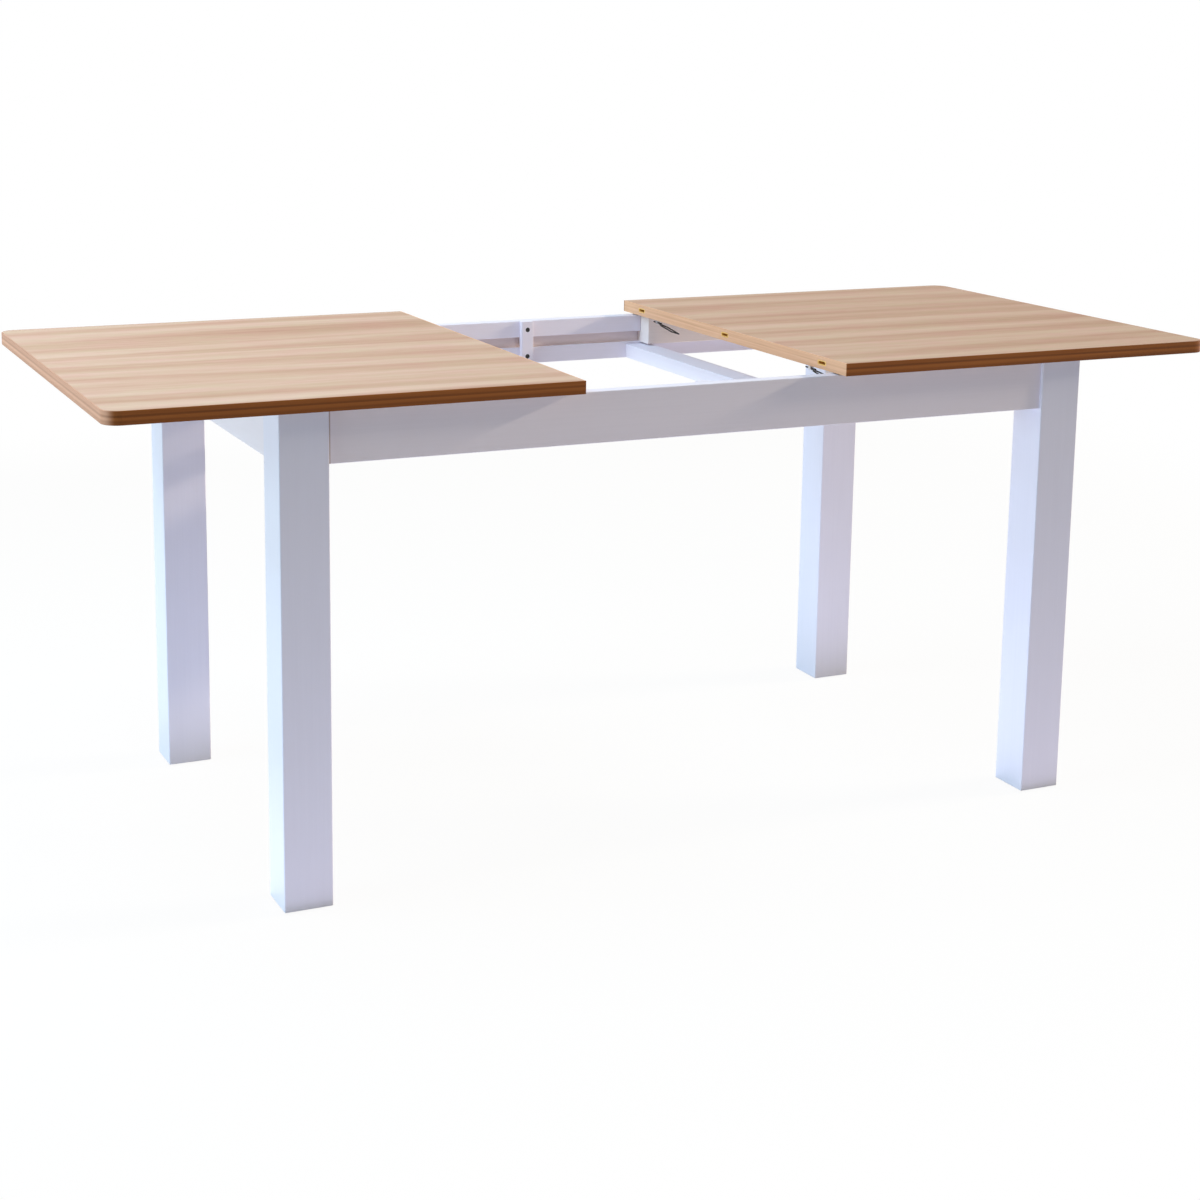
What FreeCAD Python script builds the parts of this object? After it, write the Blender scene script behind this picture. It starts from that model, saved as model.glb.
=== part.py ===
import FreeCAD, Part
import os
import re
import Sketcher
from FreeCAD import Placement, Rotation, Vector

# Extending dining table with a folding leaf, in millimetres.
# +X runs along the length, +Y to the back, +Z up; the origin is on the floor under the table's centre.
# The halves of the top are modelled pulled apart, with the folded leaf stowed under the left half.

# Driving sizes: name, value, meaning.
SIZES = [
    ("table_height", 760, "floor to the upper face of the top"),
    ("top_length", 705, "one half of the top along the table"),
    ("top_width", 790, "top across the table"),
    ("top_thickness", 20, "boards of the top and of the leaf"),
    ("top_corner", 25, "plan radius of the outer corners"),
    ("top_opening", 444, "distance between the halves when pulled apart"),
    ("closed_gap", 0.4, "distance left between the halves when closed"),
    ("band_thickness", 2, "edge band"),
    ("band_ease", 1, "rounding of the band's outer edges"),
    ("end_overhang", 23.2, "closed top past the legs at the table's ends"),
    ("side_overhang", 20, "top past the legs at the table's sides"),
    ("leg_size", 74, "square section of a leg"),
    ("leg_ease", 2, "rounding of a leg's edges"),
    ("glide_height", 3, "glide under a leg"),
    ("glide_diameter", 32, "glide under a leg"),
    ("glide_bevel", 1, "bevel at the glide's foot"),
    ("apron_height", 78, "long and end aprons"),
    ("apron_thickness", 22, "long and end aprons"),
    ("apron_setback", 6, "aprons behind the legs' outer faces"),
    ("apron_drop", 2, "aprons and legs below the underside of the top"),
    ("board_ease", 1.2, "rounding of aprons, stretchers, runners and rails"),
    ("groove_height", 19, "slide groove in a long apron"),
    ("groove_depth", 10, "slide groove in a long apron"),
    ("slide_clearance", 0.3, "tongue in its groove, and leaf on its seat"),
    ("runner_thickness", 32.5, "runner across the table"),
    ("runner_gap", 1, "runner to the long apron"),
    ("runner_lip", 1.5, "runner below its groove"),
    ("stop_clearance", 0.3, "runner's end to its stop, at both ends of the travel"),
    ("stop_width", 23, "stop block along the table"),
    ("stop_thickness", 12, "stop block across the table"),
    ("stop_ease", 2, "rounding of a stop block"),
    ("stretcher_width", 46, "cross stretcher along the table"),
    ("stretcher_height", 25, "cross stretcher"),
    ("stretcher_gap", 3, "stretcher below the runners"),
    ("leaf_clearance", 2, "leaf to each half of the top when fitted"),
    ("leaf_seat_length", 16, "leaf on each stretcher when slid to the middle"),
    ("leaf_end_gap", 2, "stowed leaf to the left end apron"),
    ("fold_gap", 0.6, "between the folded wings"),
    ("leaf_ease", 1, "rounding of the wings' edges"),
    ("rail_width", 20, "rail under the stowed leaf"),
    ("rail_inset", 37, "rail's outer face from the leaf's edge"),
    ("block_clearance", 1, "corner block to the leg's corner"),
    ("block_thickness", 26, "corner block, along its bolt"),
    ("block_screw_sink", 2, "screw head inside a corner block's sloping face"),
    ("bolt_diameter", 8, "hanger bolt"),
    ("bolt_bite", 48, "hanger bolt in the leg"),
    ("bolt_spare", 16, "hanger bolt past the corner block"),
    ("bolt_clearance", 0.1, "washer and nut round the hanger bolt"),
    ("washer_diameter", 20, "washer on a hanger bolt"),
    ("washer_thickness", 1.6, "washer on a hanger bolt"),
    ("nut_width", 13, "hexagon nut across its flats"),
    ("nut_height", 6.5, "hexagon nut"),
    ("dowel_diameter", 8, "wooden dowel"),
    ("dowel_length", 36, "wooden dowel"),
    ("stretcher_dowel_spacing", 22, "dowels in a stretcher's end"),
    ("screw_diameter", 4, "wood screw's shank"),
    ("screw_head_diameter", 8.4, "wood screw's countersunk head"),
    ("screw_head_height", 2.6, "wood screw's countersunk head"),
    ("screw_bite", 14, "wood screw in the piece that it holds to"),
    ("screw_seat", 0.4, "screw head below the face of a stop block"),
    ("drive_width", 1.1, "cross recess in a stop screw's head"),
    ("drive_length", 5, "cross recess in a stop screw's head"),
    ("drive_depth", 1.5, "cross recess in a stop screw's head"),
    ("counterbore_diameter", 10, "hole under a runner for a screw's head"),
    ("counterbore_depth", 22, "hole under a runner for a screw's head"),
    ("tenon_inset", 75, "outer tenons and sockets from the top's side"),
    ("tenon_width", 20, "flat tenon along a mating edge"),
    ("tenon_height", 4, "flat tenon in a mating edge"),
    ("tenon_reach", 10, "tenon past its edge"),
    ("tenon_bite", 20, "tenon in its board"),
    ("tenon_nose", 1.2, "rounding of a tenon's free end"),
    ("socket_width", 26, "slotted socket along a mating edge"),
    ("socket_height", 8, "slotted socket in a mating edge"),
    ("socket_length", 22, "slotted socket into its board"),
    ("socket_clearance", 0.3, "tenon in its socket"),
    ("latch_offset", 41.5, "latch to the runner beside it"),
    ("latch_setback", 9, "bail's pivot behind the mating edge"),
    ("latch_drop", 6, "bail's pivot below the underside of the top"),
    ("wire_diameter", 2.4, "latch bail's wire"),
    ("bail_length", 42, "bail, pivot to nose"),
    ("bail_width", 30, "bail across its pivot and nose"),
    ("bail_neck", 8, "pivot to the bail's waist"),
    ("bail_shoulder", 16, "pivot to where the bail is wide again"),
    ("bail_waist", 3.4, "bail across its waist"),
    ("bail_hang", 30, "degrees that the stowed bail points below level"),
    ("knuckle_diameter", 5.6, "bracket's roll round the bail"),
    ("knuckle_length", 7, "bracket's roll round the bail"),
    ("pivot_clearance", 0.1, "bail in its bracket"),
    ("plate_thickness", 1.5, "latch brackets, catches and hinges"),
    ("bracket_length", 30, "latch bracket along the table"),
    ("bracket_width", 18, "latch bracket across the table"),
    ("catch_length", 24, "catch plate along the table"),
    ("catch_width", 16, "catch plate across the table"),
    ("catch_lip_width", 5, "catch's lip inside the bail"),
    ("catch_lip_depth", 9, "catch's lip below its plate"),
    ("catch_gap", 3, "catch's lip to the bail's nose when closed"),
    ("plate_screw_length", 12, "screws of brackets, catches and hinges"),
    ("plate_screw_diameter", 3, "screws of brackets, catches and hinges"),
    ("plate_screw_head", 5.6, "screws of brackets, catches and hinges"),
    ("plate_screw_head_height", 1.4, "screws of brackets, catches and hinges"),
    ("hinge_length", 60, "leaf hinge along the fold"),
    ("hinge_leaf", 14, "one plate of a leaf hinge across the fold"),
    ("hinge_knuckle", 4, "leaf hinge's knuckle"),
    ("hinge_pin_diameter", 2, "leaf hinge's pin"),
    ("hinge_play", 0.2, "between the parts of a leaf hinge"),
    ("hinge_inset", 60, "leaf hinge from the leaf's end"),
    ("overrun", 5, "how far cutting shapes pass the faces that they cut"),
]

# Sizes worked out from the driving ones.
DERIVED = {
    "frame_length": "2 * top_length + closed_gap - 2 * end_overhang",
    "frame_width": "top_width - 2 * side_overhang",
    "underside": "table_height - top_thickness",
    "mid_top": "table_height - top_thickness / 2",
    "inner_edge": "top_opening / 2",
    "travel": "(top_opening - closed_gap) / 2",
    "half_width": "top_width / 2",
    "tenon_side": "half_width - tenon_inset",
    "leg_face_x": "frame_length / 2 - leg_size",
    "leg_face_y": "frame_width / 2 - leg_size",
    "apron_top": "underside - apron_drop",
    "apron_bottom": "apron_top - apron_height",
    "apron_inner_x": "frame_length / 2 - apron_setback - apron_thickness",
    "apron_inner_y": "frame_width / 2 - apron_setback - apron_thickness",
    "apron_mid": "apron_bottom + apron_height / 2",
    "groove_bottom": "apron_mid - groove_height / 2",
    "groove_top": "apron_mid + groove_height / 2",
    "lower_lip_mid": "(apron_bottom + groove_bottom) / 2",
    "upper_lip_mid": "(apron_top + groove_top) / 2",
    "runner_outer_y": "apron_inner_y - runner_gap",
    "runner_inner_y": "runner_outer_y - runner_thickness",
    "runner_mid_y": "runner_outer_y - runner_thickness / 2",
    "runner_bottom": "groove_bottom - runner_lip",
    "runner_start": "stop_width / 2 + stop_clearance + travel",
    "runner_end": "leg_face_x - stop_clearance",
    "runner_length": "runner_end - runner_start",
    "stretcher_top": "runner_bottom - stretcher_gap",
    "stretcher_bottom": "stretcher_top - stretcher_height",
    "stretcher_mid": "stretcher_top - stretcher_height / 2",
    "leaf_length": "top_opening - 2 * leaf_clearance",
    "stretcher_inner": "leaf_length / 2 - leaf_seat_length",
    "stretcher_outer": "stretcher_inner + stretcher_width",
    "stretcher_mid_x": "stretcher_inner + stretcher_width / 2",
    "leaf_left": "leaf_end_gap - apron_inner_x",
    "leaf_right": "leaf_left + leaf_length",
    "wing_width": "half_width - fold_gap / 2",
    "fold_face": "wing_width / 2",
    "rail_side": "fold_face - rail_inset - rail_width",
    "fold_level": "lower_wing + top_thickness + fold_gap / 2",
    "lower_wing": "stretcher_top + slide_clearance",
    "upper_wing": "lower_wing + top_thickness + fold_gap",
    "wing_tenon_y": "fold_face + fold_gap / 2 - tenon_side",
    "block_inset": "leg_size - apron_setback - apron_thickness + block_clearance",
    "block_run": "block_thickness * sqrt(2)",
    "block_seat": "block_run / 2 - counterbore_diameter / 2 - block_screw_sink",
    "latch_y": "runner_inner_y - latch_offset",
    "pivot_x": "inner_edge + latch_setback",
    "pivot_z": "underside - latch_drop",
    "catch_x": "inner_edge - closed_gap + bail_length - latch_setback - wire_diameter / 2 - catch_gap",
    "hinge_axis_y": "fold_face + fold_gap / 2",
    "hinge_back": "fold_face - plate_thickness",
    "hinge_side": "leaf_length / 2 - hinge_inset - hinge_length / 2",
    "hinge_third": "hinge_length / 3",
    "hinge_plate_gap": "hinge_knuckle / 2 + hinge_play",
}

# Places of the screws along a runner, across a latch's plate and along a hinge, as shares of its size.
RUNNER_SCREW_SHARES = (0.12, 0.5, 0.88)
PLATE_SCREW_SHARES = (0.25, 0.75)
HINGE_SCREW_SHARES = (0.18, 0.82)

# Rounding along a flat tenon or socket, as a share of its height.
FLAT_ROUND_SHARE = 0.45

X_AXIS = Vector(1, 0, 0)
Y_AXIS = Vector(0, 1, 0)
Z_AXIS = Vector(0, 0, 1)
HALF_TURN = Placement(Vector(), Rotation(Z_AXIS, 180))
ENDS = {"front": -1, "back": 1}
SIDES = {"left": -1, "right": 1}

doc = FreeCAD.newDocument("ExtendingTable")
sheet = doc.addObject("Spreadsheet::Sheet", "Sizes")
for row, (alias, value, meaning) in enumerate(SIZES, 1):
    sheet.set(f"A{row}", meaning)
    sheet.set(f"B{row}", str(value))
    sheet.setAlias(f"B{row}", alias)
doc.recompute()
NAMES = {alias for alias, value, meaning in SIZES}
pieces = []


# Helpers for sizes

def expand(text):
    """Write an expression in size names out in cells of the sheet."""

    def word(match):
        name = match.group(0)
        if name in DERIVED:
            return f"({expand(DERIVED[name])})"
        return f"Sizes.{name}" if name in NAMES else name

    return re.sub(r"[a-z_]\w*", word, text)


def number(text):
    """The value of an expression in size names."""
    return float(sheet.evalExpression(expand(text)))


def bind(item, prop, text):
    item.setExpression(prop, expand(text))


def put(item, x, y, z):
    """Bind the three coordinates of an object's place."""
    for axis, text in zip("xyz", (x, y, z)):
        bind(item, f"Placement.Base.{axis}", text)


def times(sign, text):
    """The expression on the positive or the negative side of the middle."""
    return text if sign > 0 else f"-({text})"


def low_corner(sign, near, size):
    """Lower coordinate of a piece whose face nearest the middle is at near."""
    return near if sign > 0 else f"-({near}) - ({size})"


# Helpers for shapes

def origin_plane(body, role):
    return next(plane for plane in body.Origin.OriginFeatures if plane.Role == role)


def draw(sketch, corners):
    """A closed outline of straight lines with every corner bound to the sheet."""
    spots = [Vector(number(u), number(v), 0) for u, v in corners]
    count = len(spots)
    for i, spot in enumerate(spots):
        sketch.addGeometry(Part.LineSegment(spot, spots[(i + 1) % count]))
    for i in range(count):
        sketch.addConstraint(Sketcher.Constraint("Coincident", i, 2, (i + 1) % count, 1))
    for i, (u, v) in enumerate(corners):
        for kind, text in (("DistanceX", u), ("DistanceY", v)):
            rule = sketch.addConstraint(Sketcher.Constraint(kind, -1, 1, i, 1, number(text)))
            bind(sketch, f"Constraints[{rule}]", text)


def outline(body, role, start, corners):
    """An outline in a body, on one of its planes or at a distance from it."""
    sketch = body.newObject("Sketcher::SketchObject", f"{body.Name}_outline")
    sketch.AttachmentSupport = (origin_plane(body, role), [""])
    sketch.MapMode = "FlatFace"
    bind(sketch, "AttachmentOffset.Base.z", start)
    draw(sketch, corners)
    return sketch


def prism(name, corners, start, depth, role="XY_Plane"):
    """A body padded from an outline."""
    body = doc.addObject("PartDesign::Body", name)
    sketch = outline(body, role, start, corners)
    pad = body.newObject("PartDesign::Pad", f"{name}_pad")
    pad.Profile = sketch
    bind(pad, "Length", depth)
    doc.recompute()
    return body


def slab(name, x, y, z, length, width, height):
    """A square-edged board from its lower corner and its three sizes."""
    far_x = f"{x} + ({length})"
    far_y = f"{y} + ({width})"
    return prism(name, [(x, y), (far_x, y), (far_x, far_y), (x, far_y)], z, height)


def turned(name, corners):
    """A body turned about its own Z axis from an outline of radius and height."""
    body = doc.addObject("PartDesign::Body", name)
    sketch = outline(body, "XZ_Plane", "0", corners)
    turn = body.newObject("PartDesign::Revolution", f"{name}_turn")
    turn.Profile = sketch
    turn.ReferenceAxis = (sketch, ["V_Axis"])
    doc.recompute()
    return body


def ease(body, radius, wanted):
    """Round the edges of a body that the function wanted picks."""
    base = body.Tip
    edges = [f"Edge{i}" for i, edge in enumerate(base.Shape.Edges, 1) if wanted(edge)]
    fillet = body.newObject("PartDesign::Fillet", f"{base.Name}_ease")
    fillet.Base = (base, edges)
    bind(fillet, "Radius", radius)
    doc.recompute()
    return body


def along(*axes):
    """Picks straight edges that run along one of the given axes."""

    def wanted(edge):
        straight = isinstance(edge.Curve, Part.Line)
        return straight and any(edge.Curve.Direction.cross(axis).Length < Part.Precision.confusion()
                                for axis in axes)

    return wanted


def every_edge(edge):
    return True


def rod(name, diameter, length, x, y, z, direction):
    """A round bar from its starting point."""
    bar = doc.addObject("Part::Cylinder", name)
    bind(bar, "Radius", f"({diameter}) / 2")
    bind(bar, "Height", length)
    bar.Placement = Placement(Vector(), Rotation(Z_AXIS, direction))
    put(bar, x, y, z)
    return bar


def screw(name, x, y, z, direction, length, diameter="screw_diameter",
          head="screw_head_diameter", head_height="screw_head_height"):
    """A countersunk wood screw from the middle of its head's face."""
    cone = doc.addObject("Part::Cone", f"{name}_head")
    bind(cone, "Radius1", f"{head} / 2")
    bind(cone, "Radius2", f"{diameter} / 2")
    bind(cone, "Height", head_height)
    shank = doc.addObject("Part::Cylinder", f"{name}_shank")
    bind(shank, "Radius", f"{diameter} / 2")
    bind(shank, "Height", length)
    both = doc.addObject("Part::Fuse", name)
    both.Base = cone
    both.Tool = shank
    both.Placement = Placement(Vector(), Rotation(Z_AXIS, direction))
    put(both, x, y, z)
    return both


def plate_screw(name, x, y, z, direction):
    return screw(name, x, y, z, direction, "plate_screw_length", "plate_screw_diameter",
                 "plate_screw_head", "plate_screw_head_height")


def box(name, x, y, z, length, width, height):
    """A plain block from its lower corner and its three sizes."""
    block = doc.addObject("Part::Box", name)
    for prop, text in (("Length", length), ("Width", width), ("Height", height)):
        bind(block, prop, text)
    put(block, x, y, z)
    return block


def group(name, members):
    """Separate solids kept together as one object."""
    bundle = doc.addObject("Part::Compound", name)
    bundle.Links = members
    return bundle


def cut(name, base, tools):
    """A shape less the tools that pass through it."""
    result = doc.addObject("Part::Cut", name)
    result.Base = base
    result.Tool = tools[0] if len(tools) == 1 else group(f"{name}_tools", tools)
    return result


def fuse(name, members):
    """One solid from shapes that run into each other."""
    result = doc.addObject("Part::MultiFuse", name)
    result.Shapes = members
    return result


def keep(item, label, half_turn=False):
    """Name a finished piece, and turn it about the table's middle for the opposite side."""
    item.Label = label
    if half_turn:
        item.Placement = HALF_TURN
    pieces.append(item)


# Legs, aprons and stretchers

def legs():
    for side, sx in SIDES.items():
        for end, sy in ENDS.items():
            name = f"leg_{end}_{side}"
            x = low_corner(sx, "leg_face_x", "leg_size")
            y = low_corner(sy, "leg_face_y", "leg_size")
            leg = slab(f"{name}_body", x, y, "glide_height", "leg_size", "leg_size",
                       "apron_top - glide_height")
            keep(ease(leg, "leg_ease", every_edge), name)


def glides():
    rim = "glide_diameter / 2"
    corners = [("0", "0"), (f"{rim} - glide_bevel", "0"), (rim, "glide_bevel"), (rim, "glide_height"),
               ("0", "glide_height")]
    for side, sx in SIDES.items():
        for end, sy in ENDS.items():
            glide = turned(f"glide_{end}_{side}_body", corners)
            put(glide, times(sx, "leg_face_x + leg_size / 2"), times(sy, "leg_face_y + leg_size / 2"), "0")
            keep(glide, f"glide_{end}_{side}")


def long_aprons():
    outer = "apron_inner_y + apron_thickness"
    floor = "apron_inner_y + groove_depth"
    section = [("apron_inner_y", "apron_bottom"), (outer, "apron_bottom"), (outer, "apron_top"),
               ("apron_inner_y", "apron_top"), ("apron_inner_y", "groove_top"), (floor, "groove_top"),
               (floor, "groove_bottom"), ("apron_inner_y", "groove_bottom")]
    groove_floor = number(floor)

    def outside_groove(edge):
        return along(X_AXIS)(edge) and abs(edge.CenterOfMass.y - groove_floor) > Part.Precision.confusion()

    for end in ENDS:
        apron = prism(f"long_apron_{end}_body", section, "-leg_face_x", "2 * leg_face_x", "YZ_Plane")
        keep(ease(apron, "board_ease", outside_groove), f"long_apron_{end}", end == "front")


def end_aprons():
    for side, sx in SIDES.items():
        x = low_corner(sx, "apron_inner_x", "apron_thickness")
        apron = slab(f"end_apron_{side}_body", x, "-leg_face_y", "apron_bottom", "apron_thickness",
                     "2 * leg_face_y", "apron_height")
        keep(ease(apron, "board_ease", along(Y_AXIS)), f"end_apron_{side}")


def stretchers():
    for side, sx in SIDES.items():
        x = low_corner(sx, "stretcher_inner", "stretcher_width")
        stretcher = slab(f"cross_stretcher_{side}_body", x, "-apron_inner_y", "stretcher_bottom",
                         "stretcher_width", "2 * apron_inner_y", "stretcher_height")
        keep(ease(stretcher, "board_ease", along(Y_AXIS)), f"cross_stretcher_{side}")


def leaf_rails():
    """Rails from the left end apron to the left stretcher, level with its upper face."""
    for end, sy in ENDS.items():
        y = low_corner(sy, "rail_side", "rail_width")
        rail = slab(f"leaf_rail_{end}_body", "-apron_inner_x", y, "stretcher_bottom",
                    "apron_inner_x - stretcher_outer", "rail_width", "stretcher_height")
        keep(ease(rail, "board_ease", along(X_AXIS)), f"leaf_rail_{end}")


def rail_dowels():
    dowels = []
    for end, sy in ENDS.items():
        y = times(sy, "rail_side + rail_width / 2")
        for name, x in (("apron", "-apron_inner_x"), ("stretcher", "-stretcher_outer")):
            dowels.append(rod(f"rail_dowel_{end}_{name}", "dowel_diameter", "dowel_length",
                              f"{x} - dowel_length / 2", y, "stretcher_mid", X_AXIS))
    keep(group("rail_dowel_set", dowels), "rail_dowels")


def apron_dowels():
    """Two dowels in each joint of an apron and a leg."""
    dowels = []
    for side, sx in SIDES.items():
        for end, sy in ENDS.items():
            for level, z in (("low", "lower_lip_mid"), ("high", "upper_lip_mid")):
                name = f"apron_dowel_{end}_{side}_{level}"
                along_x = times(sx, "leg_face_x") + " - dowel_length / 2"
                along_y = times(sy, "leg_face_y") + " - dowel_length / 2"
                mid_x = times(sx, "apron_inner_x + apron_thickness / 2")
                mid_y = times(sy, "apron_inner_y + apron_thickness / 2")
                dowels.append(rod(f"{name}_long", "dowel_diameter", "dowel_length", along_x, mid_y, z,
                                  X_AXIS))
                dowels.append(rod(f"{name}_end", "dowel_diameter", "dowel_length", mid_x, along_y, z,
                                  Y_AXIS))
    keep(group("apron_dowel_set", dowels), "apron_dowels")


def stretcher_dowels():
    """Two dowels in each end of a stretcher, set as deep in the apron as its thickness allows."""
    dowels = []
    for side, sx in SIDES.items():
        for end, sy in ENDS.items():
            for step in (-1, 1):
                name = f"stretcher_dowel_{side}_{end}_{'in' if step < 0 else 'out'}"
                x = times(sx, f"stretcher_mid_x + {step} * stretcher_dowel_spacing / 2")
                y = times(sy, "apron_inner_y") + " - apron_thickness / 2"
                dowels.append(rod(name, "dowel_diameter", "apron_thickness", x, y, "stretcher_mid", Y_AXIS))
    keep(group("stretcher_dowel_set", dowels), "stretcher_dowels")


# Stop blocks at the middle of the long aprons

def stop_blocks():
    screws = []
    face = "apron_inner_y - stop_thickness"
    seat = f"{face} + screw_seat"
    for end, sy in ENDS.items():
        y = low_corner(sy, face, "stop_thickness")
        block = slab(f"stop_block_{end}_body", "-stop_width / 2", y, "apron_bottom", "stop_width",
                     "stop_thickness", "apron_height")
        ease(block, "stop_ease", along(Z_AXIS))
        holes = []
        into_block = Vector(0, sy, 0)
        for level, z in (("low", "lower_lip_mid"), ("high", "upper_lip_mid")):
            name = f"stop_screw_{end}_{level}"
            body = screw(f"{name}_body", "0", times(sy, seat), z, into_block,
                         "stop_thickness + screw_bite - screw_seat")
            bars = [box(f"{name}_drive_x", "-drive_length / 2", times(sy, seat) + " - drive_depth",
                        f"{z} - drive_width / 2", "drive_length", "2 * drive_depth", "drive_width"),
                    box(f"{name}_drive_z", "-drive_width / 2", times(sy, seat) + " - drive_depth",
                        f"{z} - drive_length / 2", "drive_width", "2 * drive_depth", "drive_length")]
            screws.append(cut(name, body, [fuse(f"{name}_drive", bars)]))
            holes.append(screw(f"{name}_hole", "0", times(sy, seat), z, into_block,
                               "stop_thickness + overrun"))
            holes.append(rod(f"{name}_mouth", "screw_head_diameter", "screw_seat + overrun", "0",
                             times(sy, f"{face} - overrun"), z, into_block))
        keep(cut(f"stop_block_{end}_drilled", block, [fuse(f"stop_block_{end}_holes", holes)]),
             f"stop_block_{end}")
    keep(group("stop_screw_set", screws), "stop_block_screws")


# Corner blocks and the hanger bolts that hold the legs

def corner_block_outline(sx, sy):
    """Four corners of a block set at 45 degrees between the aprons, inside a leg's corner."""
    corners = [("leg_face_x - block_inset", "apron_inner_y"),
               ("leg_face_x - block_inset - block_run", "apron_inner_y"),
               ("apron_inner_x", "leg_face_y - block_inset - block_run"),
               ("apron_inner_x", "leg_face_y - block_inset")]
    return [(times(sx, u), times(sy, v)) for u, v in corners]


def hexagon_nut(name):
    """A hexagon nut standing on the origin, bored for its bolt."""
    nut = doc.addObject("Part::Prism", f"{name}_blank")
    nut.Polygon = 6
    bind(nut, "Circumradius", "nut_width / sqrt(3)")
    bind(nut, "Height", "nut_height")
    bore = rod(f"{name}_bore", "bolt_diameter + 2 * bolt_clearance", "nut_height + 2 * overrun",
               "0", "0", "-overrun", Z_AXIS)
    return cut(name, nut, [bore])


def washer(name):
    """A flat washer standing on the origin."""
    disc = rod(f"{name}_blank", "washer_diameter", "washer_thickness", "0", "0", "0", Z_AXIS)
    bore = rod(f"{name}_bore", "bolt_diameter + 2 * bolt_clearance", "washer_thickness + 2 * overrun",
               "0", "0", "-overrun", Z_AXIS)
    return cut(name, disc, [bore])


def on_bolt(sx, sy, depth):
    """A point on a bolt's line, measured from the leg's corner towards the middle."""
    reach = f"block_clearance / 2 + ({depth}) / sqrt(2)"
    return times(sx, f"leg_face_x - ({reach})"), times(sy, f"leg_face_y - ({reach})"), "stretcher_mid"


def hanger_bolt(place, sx, sy):
    start = on_bolt(sx, sy, "block_thickness + bolt_spare")
    length = "block_thickness + bolt_spare + bolt_bite"
    return rod(f"hanger_bolt_{place}", "bolt_diameter", length, *start, Vector(sx, sy, 0))


def on_block(item, sx, sy, depth):
    """Set a washer or a nut on its bolt, facing the middle of the table."""
    item.Placement = Placement(Vector(), Rotation(Z_AXIS, Vector(-sx, -sy, 0)))
    put(item, *on_bolt(sx, sy, depth))
    return item


def block_screw_places(sx, sy):
    """Start and direction of the screws from a corner block into the long and the end apron."""
    beside = "leg_face_x - block_inset - block_run / 2"
    behind = "leg_face_y - block_inset - block_run / 2"
    long_spot = (times(sx, beside), times(sy, "apron_inner_y - block_seat"), "stretcher_mid")
    end_spot = (times(sx, "apron_inner_x - block_seat"), times(sy, behind), "stretcher_mid")
    return {"long": (long_spot, Vector(0, sy, 0)), "end": (end_spot, Vector(sx, 0, 0))}


def corner_blocks():
    bolts = []
    washers = []
    nuts = []
    screws = []
    for side, sx in SIDES.items():
        for end, sy in ENDS.items():
            place = f"{end}_{side}"
            block = prism(f"corner_block_{place}_body", corner_block_outline(sx, sy), "stretcher_bottom",
                          "stretcher_height")
            ease(block, "board_ease", along(Z_AXIS))
            bolts.append(hanger_bolt(place, sx, sy))
            washers.append(on_block(washer(f"bolt_washer_{place}"), sx, sy, "block_thickness"))
            nuts.append(on_block(hexagon_nut(f"bolt_nut_{place}"), sx, sy,
                                 "block_thickness + washer_thickness"))
            pockets = []
            for apron, (spot, direction) in block_screw_places(sx, sy).items():
                name = f"block_screw_{place}_{apron}"
                screws.append(screw(name, *spot, direction, "block_seat + screw_bite"))
                pockets.append(rod(f"{name}_pocket", "counterbore_diameter", "block_run", *spot, -direction))
            keep(cut(f"corner_block_{place}_drilled", block, pockets), f"corner_block_{place}")
    keep(group("hanger_bolt_set", bolts), "hanger_bolts")
    keep(group("bolt_washer_set", washers), "bolt_washers")
    keep(group("bolt_nut_set", nuts), "bolt_nuts")
    keep(group("block_screw_set", screws), "corner_block_screws")


# Half tops with their bands, runners and runner screws

def rounded_board(name, inset, near_end, depth_from, depth):
    """A board with two rounded outer corners, its sides set in from those of the top."""
    far = f"inner_edge + top_length - {inset}"
    side = f"half_width - {inset}"
    board = prism(name, [(near_end, f"-({side})"), (far, f"-({side})"), (far, side), (near_end, side)],
                  depth_from, depth)
    middle = number(f"({near_end} + {far}) / 2")

    def outer_corner(edge):
        return along(Z_AXIS)(edge) and edge.CenterOfMass.x > middle

    return ease(board, f"top_corner - {inset}", outer_corner)


def edge_band(side):
    """The band round the three outer sides of a half top."""
    outer = rounded_board(f"{side}_band_outer", "0", "inner_edge", "underside", "top_thickness")
    near = number("inner_edge")

    def rim(edge):
        level = edge.BoundBox.ZLength < Part.Precision.confusion()
        return level and edge.BoundBox.XMax > near + Part.Precision.confusion()

    ease(outer, "band_ease", rim)
    core = rounded_board(f"{side}_band_core", "band_thickness", "inner_edge - overrun",
                         "underside - overrun", "top_thickness + 2 * overrun")
    keep(cut(f"{side}_band", outer, [core]), f"{side}_top_edge_band", side == "left")


def half_board(side):
    return rounded_board(f"{side}_board_body", "band_thickness", "inner_edge + band_thickness", "underside",
                         "top_thickness")


def mating_band(side):
    return slab(f"{side}_mating_band_body", "inner_edge", "band_thickness - half_width", "underside",
                "band_thickness", "top_width - 2 * band_thickness", "top_thickness")


def flat_bar(name, width, height, x, y, z, length):
    """A flat bar along the table with rounded long edges, from the middle of its left end."""
    near = f"{y} - ({width}) / 2"
    far = f"{y} + ({width}) / 2"
    low = f"{z} - ({height}) / 2"
    high = f"{z} + ({height}) / 2"
    bar = prism(name, [(near, low), (far, low), (far, high), (near, high)], x, length, "YZ_Plane")
    return ease(bar, f"{FLAT_ROUND_SHARE} * ({height})", along(X_AXIS))


def socket_hole(name, x, y, z):
    """The hole for a socket, from a mating edge at x into its board."""
    return flat_bar(name, "socket_width", "socket_height", f"{x} - overrun", y, z, "socket_length + overrun")


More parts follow.
